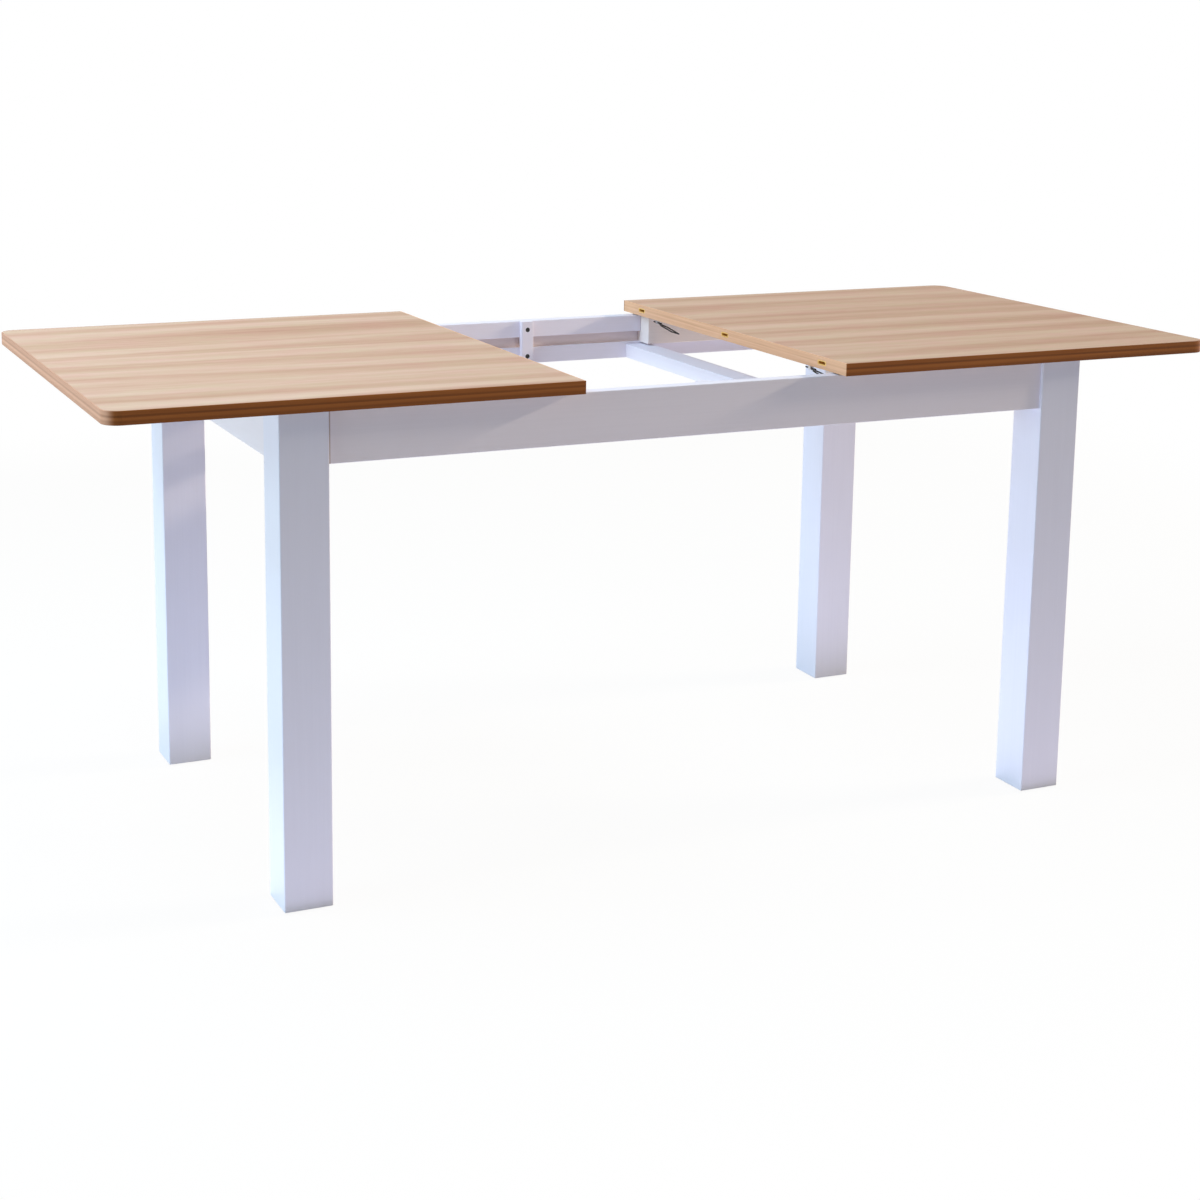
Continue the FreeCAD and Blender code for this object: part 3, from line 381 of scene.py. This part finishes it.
def leaf_board(name):
    """The leaf's laminate, with brown edges all round."""
    maker = Maker(name)
    point = maker.place()
    faces, fibres = laminate_face(maker, maker.stretch(point, (1.0, 1.0, 1.0), LEAF_FIGURE_SHIFT))
    edges = maker.ramp(band_figure(maker, point), BAND_SIDE_STOPS)
    rise = maker.split(maker.add("ShaderNodeNewGeometry").outputs["Normal"])[Z]
    flat = maker.between(maker.math("ABSOLUTE", rise), 0.6, 0.8)
    return finish_laminate(maker, maker.mix(flat, edges, faces), fibres)


def band_print(maker, point, profile_share):
    """Tone of a band: fine lines, a dark foot and one dark line above the middle."""
    height = maker.math("SUBTRACT", maker.split(point)[Z], UNDERSIDE)
    rise = maker.math("DIVIDE", height, TOP_LEVEL - UNDERSIDE)
    profile = maker.ramp(rise, [(share, (tone, tone, tone)) for share, tone in BAND_PROFILE_TONES])
    return maker.blend((band_figure(maker, point), 1.0 - profile_share), (profile, profile_share))


def finish_band(maker, colour, tone):
    maker.bump(tone, 0.10, 0.0003)
    roughness = maker.spread(tone, *BAND_ROUGHNESS)
    return maker.set(base_color=colour, roughness=roughness, specular_ior_level=0.2)


def edge_band(name):
    """Brown wood-grain band, painted paler on the ends of the table as painted light."""
    maker = Maker(name)
    point = maker.place()
    tone = band_print(maker, point, PROFILE_SHARE)
    distance = maker.math("ABSOLUTE", maker.split(point)[X])
    # Painted light on the table's ends
    painted_lit_end = maker.between(distance, *(TOP_END - inset for inset in BAND_CORNER))
    colour = maker.mix(painted_lit_end, maker.ramp(tone, BAND_SIDE_STOPS), maker.ramp(tone, BAND_END_PAINTED_LIGHT))
    return finish_band(maker, colour, tone)


def mating_band(name):
    """Wood-grain band on the edges that meet, painted pale as painted light."""
    maker = Maker(name)
    tone = band_print(maker, maker.place(), MATING_PROFILE_SHARE)
    return finish_band(maker, maker.ramp(tone, BAND_MATING_PAINTED_LIGHT), tone)


def bare_wood(name, axis):
    """Beech without a finish."""
    maker = Maker(name)
    grain = maker.noise(maker.stretch(maker.place(), along_axis(axis, 9.0, 220.0)), detail=4.0, roughness=0.6)
    maker.bump(grain, 0.2, 0.0006)
    roughness = maker.spread(grain, *BEECH_ROUGHNESS)
    return maker.set(base_color=maker.ramp(grain, BEECH_STOPS), roughness=roughness)


def metal(name, clean, dull, roughness, scale, metallic=1.0):
    """Metal with duller patches and fine scratches."""
    maker = Maker(name)
    point = maker.place()
    patches = maker.noise(point, scale=scale, detail=4.0, roughness=0.6)
    scratches = maker.noise(maker.stretch(point, (scale * 1.5, scale * 14.0, scale * 14.0)), detail=2.0)
    tone = maker.blend((patches, 0.6), (scratches, 0.4))
    colour = maker.mix(maker.between(tone, 0.42, 0.62), clean, dull)
    maker.bump(scratches, 0.08, 0.0001)
    return maker.set(base_color=colour, roughness=maker.spread(tone, *roughness), metallic=metallic)


def moulded(name, clean, scuffed):
    """Matt moulded plastic with a fine grain and scuffs."""
    maker = Maker(name)
    point = maker.place()
    grain = maker.noise(point, scale=900.0, detail=2.0)
    scuffs = maker.noise(point, scale=120.0, detail=4.0)
    maker.bump(grain, 0.15, 0.0002)
    colour = maker.mix(maker.between(scuffs, 0.45, 0.65), clean, scuffed)
    return maker.set(base_color=colour, roughness=maker.spread(scuffs, *NYLON_ROUGHNESS))


def dress(material, *names):
    """Give every node whose name starts with one of the names this material."""
    for node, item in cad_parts.items():
        if node.startswith(names):
            item.data.materials.clear()
            item.data.materials.append(material)


dress(painted_wood("paint_on_legs", Z), "leg_")
# Stop blocks, long aprons, end aprons and stretchers sit under the tops and get the copy of the paint with
# painted shade
dress(painted_wood("paint_on_stops", Z, SHADED_PAINT_PALE, SHADED_PAINT_DEEP), "stop_block_front", "stop_block_back")
dress(painted_wood("paint_on_long_aprons", X, SHADED_PAINT_PALE, SHADED_PAINT_DEEP, apron_painted_shade), "long_apron_")
# The runners get a copy of the paint with painted shade
dress(painted_wood("paint_on_runners", X, RUNNER_SHADE_PALE, RUNNER_SHADE_DEEP), "left_runner_front", "left_runner_back",
      "right_runner_front", "right_runner_back")
dress(painted_wood("paint_across", Y, SHADED_PAINT_PALE, SHADED_PAINT_DEEP), "end_apron_", "cross_stretcher_")
dress(laminate("laminate_left", MATING_EDGE), "left_top_board")
dress(laminate("laminate_right", -MATING_EDGE), "right_top_board")
dress(edge_band("edge_band"), "left_top_edge_band", "right_top_edge_band")
dress(mating_band("mating_band"), "left_top_mating_band", "right_top_mating_band")
dress(leaf_board("leaf_laminate"), "leaf_wing_")
dress(bare_wood("beech_along", X), "leaf_rail_", "rail_dowels", "apron_dowels")
dress(bare_wood("beech_across", Y), "corner_block_front", "corner_block_back", "stretcher_dowels")
dress(metal("zinc_plate", ZINC, ZINC_DULL, PLATE_ROUGHNESS, 160.0), "hanger_bolts", "bolt_",
      "corner_block_screws", "left_runner_screws", "right_runner_screws", "latch_catch_", "catch_screws",
      "latch_bracket_", "latch_screws", "leaf_hinge_")
dress(metal("bright_steel", ZINC, ZINC_DULL, STEEL_ROUGHNESS, 200.0), "left_edge_tenons", "leaf_edge_tenons")
dress(metal("black_wire", BLACKENED, BLACKENED_WORN, WIRE_ROUGHNESS, 300.0, 0.0), "latch_bail_")
dress(metal("dark_screws", BLACKENED, BLACKENED_WORN, SCREW_ROUGHNESS, 500.0, 0.0), "stop_block_screws")
dress(metal("brass", BRASS, BRASS_DULL, BRASS_ROUGHNESS, 300.0, 0.3), "right_tenon_sockets",
      "leaf_tenon_sockets")
dress(moulded("nylon", NYLON, NYLON_SCUFFED), "glide_")


# Floor, world, lights and camera

FLOOR_HALF_WIDTH = 3.2
FLOOR_FRONT = -1.5
FLOOR_BACK = 3.5
# Share of plain white in what is seen of the floor, and where it starts to rise to 1 towards the border
FLOOR_GLOW_SHARE = 0.94
FLOOR_FADE_SHARES = (0.6, 0.98)

AMBIENT = (1.0, 1.0, 0.90)
AMBIENT_STRENGTH = 0.249

# Name, place, point that it faces, width, height, power in watts, colour.
# The last three stand for light off the floor.
LIGHTS = (
    ("key_low", (-12.0, 0.5, 0.6), (0.0, 0.5, 0.6), 9.0, 1.1, 651.0, (0.744, 0.938, 1.0)),
    ("key_high", (-12.0, 0.5, 5.0), (0.0, 0.5, 1.2), 9.0, 4.0, 241.0, (0.696, 1.0, 0.95)),
    ("over_left", (-1.5, 0.2, 2.6), (-0.8, 0.2, 0.7), 1.6, 2.4, 64.0, (0.60, 0.804, 1.0)),
    ("right_far", (12.0, -1.92, 5.04), (0.0, 0.0, 0.72), 3.2, 0.5, 1380.0, (1.0, 0.841, 0.60)),
    ("floor_mid", (0.0, -0.05, 0.004), (0.0, -0.05, 1.0), 1.7, 0.5, 2.8, (0.80, 0.80, 1.0)),
    ("floor_back", (0.0, 1.4, 0.004), (0.0, 1.4, 1.0), 3.4, 1.8, 8.2, (0.935, 1.0, 0.90)),
    ("floor_front", (0.15, -0.89, 0.004), (0.15, -0.89, 1.0), 2.2, 1.0, 4.1, (0.864, 0.80, 1.0)),
)


def seen_directly(tree):
    """1 for rays that show the background itself: from the camera, or by way of gloss or glass."""
    path = tree.nodes.new("ShaderNodeLightPath")
    seen = path.outputs["Is Camera Ray"]
    for ray in ("Is Glossy Ray", "Is Transmission Ray"):
        either = tree.nodes.new("ShaderNodeMath")
        either.operation = "MAXIMUM"
        tree.links.new(seen, either.inputs[0])
        tree.links.new(path.outputs[ray], either.inputs[1])
        seen = either.outputs["Value"]
    return seen


def floor_material():
    """Shows as white and keeps a soft shadow, which fades out towards the floor's border."""
    maker = Maker("floor")
    x, y, _ = maker.split(maker.place())
    middle = (FLOOR_BACK + FLOOR_FRONT) / 2
    half = (FLOOR_BACK - FLOOR_FRONT) / 2
    sideways = maker.math("DIVIDE", maker.math("ABSOLUTE", x), FLOOR_HALF_WIDTH)
    inwards = maker.math("DIVIDE", maker.math("ABSOLUTE", maker.math("SUBTRACT", y, middle)), half)
    border = maker.between(maker.math("MAXIMUM", sideways, inwards), *FLOOR_FADE_SHARES)
    share = maker.spread(border, FLOOR_GLOW_SHARE, 1.0)
    seen = seen_directly(maker.tree)
    diffuse = maker.add("ShaderNodeBsdfDiffuse")
    maker.feed(diffuse.inputs["Color"], maker.mix(seen, FLOOR, FLOOR_SEEN))
    glow = maker.add("ShaderNodeEmission")
    both = maker.add("ShaderNodeMixShader")
    maker.feed(both.inputs["Fac"], maker.math("MULTIPLY", seen, share))
    maker.feed(both.inputs[1], diffuse.outputs["BSDF"])
    maker.feed(both.inputs[2], glow.outputs["Emission"])
    maker.feed(maker.tree.nodes["Material Output"].inputs["Surface"], both.outputs["Shader"])
    return maker.material


def build_floor():
    mesh = bpy.data.meshes.new("floor")
    corners = ((-1, FLOOR_FRONT), (1, FLOOR_FRONT), (1, FLOOR_BACK), (-1, FLOOR_BACK))
    mesh.from_pydata([(side * FLOOR_HALF_WIDTH, y, 0.0) for side, y in corners], [], [(0, 1, 2, 3)])
    mesh.materials.append(floor_material())
    floor = bpy.data.objects.new("floor", mesh)
    bpy.context.scene.collection.objects.link(floor)


def build_world():
    """A white background over soft even light."""
    world = bpy.data.worlds.new("studio")
    bpy.context.scene.world = world
    world.use_nodes = True
    nodes, links = world.node_tree.nodes, world.node_tree.links
    nodes.clear()
    ambient = nodes.new("ShaderNodeBackground")
    ambient.inputs["Color"].default_value = (*AMBIENT, 1.0)
    ambient.inputs["Strength"].default_value = AMBIENT_STRENGTH
    white = nodes.new("ShaderNodeBackground")
    white.inputs["Color"].default_value = (1.0, 1.0, 1.0, 1.0)
    both = nodes.new("ShaderNodeMixShader")
    links.new(seen_directly(world.node_tree), both.inputs["Fac"])
    links.new(ambient.outputs["Background"], both.inputs[1])
    links.new(white.outputs["Background"], both.inputs[2])
    out = nodes.new("ShaderNodeOutputWorld")
    links.new(both.outputs["Shader"], out.inputs["Surface"])


def build_lights():
    for name, place, aim, width, height, power, colour in LIGHTS:
        data = bpy.data.lights.new(name, "AREA")
        data.shape = "RECTANGLE"
        data.size = width
        data.size_y = height
        data.energy = power
        data.color = colour
        light = bpy.data.objects.new(name, data)
        light.location = place
        light.rotation_euler = (Vector(aim) - Vector(place)).to_track_quat("-Z", "Y").to_euler()
        light.visible_camera = False
        bpy.context.scene.collection.objects.link(light)


def build_camera():
    data = bpy.data.cameras.new("camera")
    data.sensor_width = SENSOR_MM
    data.lens = LENS_MM
    data.shift_x = SHIFT_X
    data.shift_y = SHIFT_Y
    camera = bpy.data.objects.new("camera", data)
    turn = Matrix((VIEW_RIGHT, -VIEW_DOWN, -VIEW_FORWARD)).transposed()
    camera.matrix_world = Matrix.Translation(EYE) @ turn.to_4x4()
    bpy.context.scene.collection.objects.link(camera)
    bpy.context.scene.camera = camera


build_floor()
build_world()
build_lights()
build_camera()
bpy.context.scene.view_settings.view_transform = "Standard"
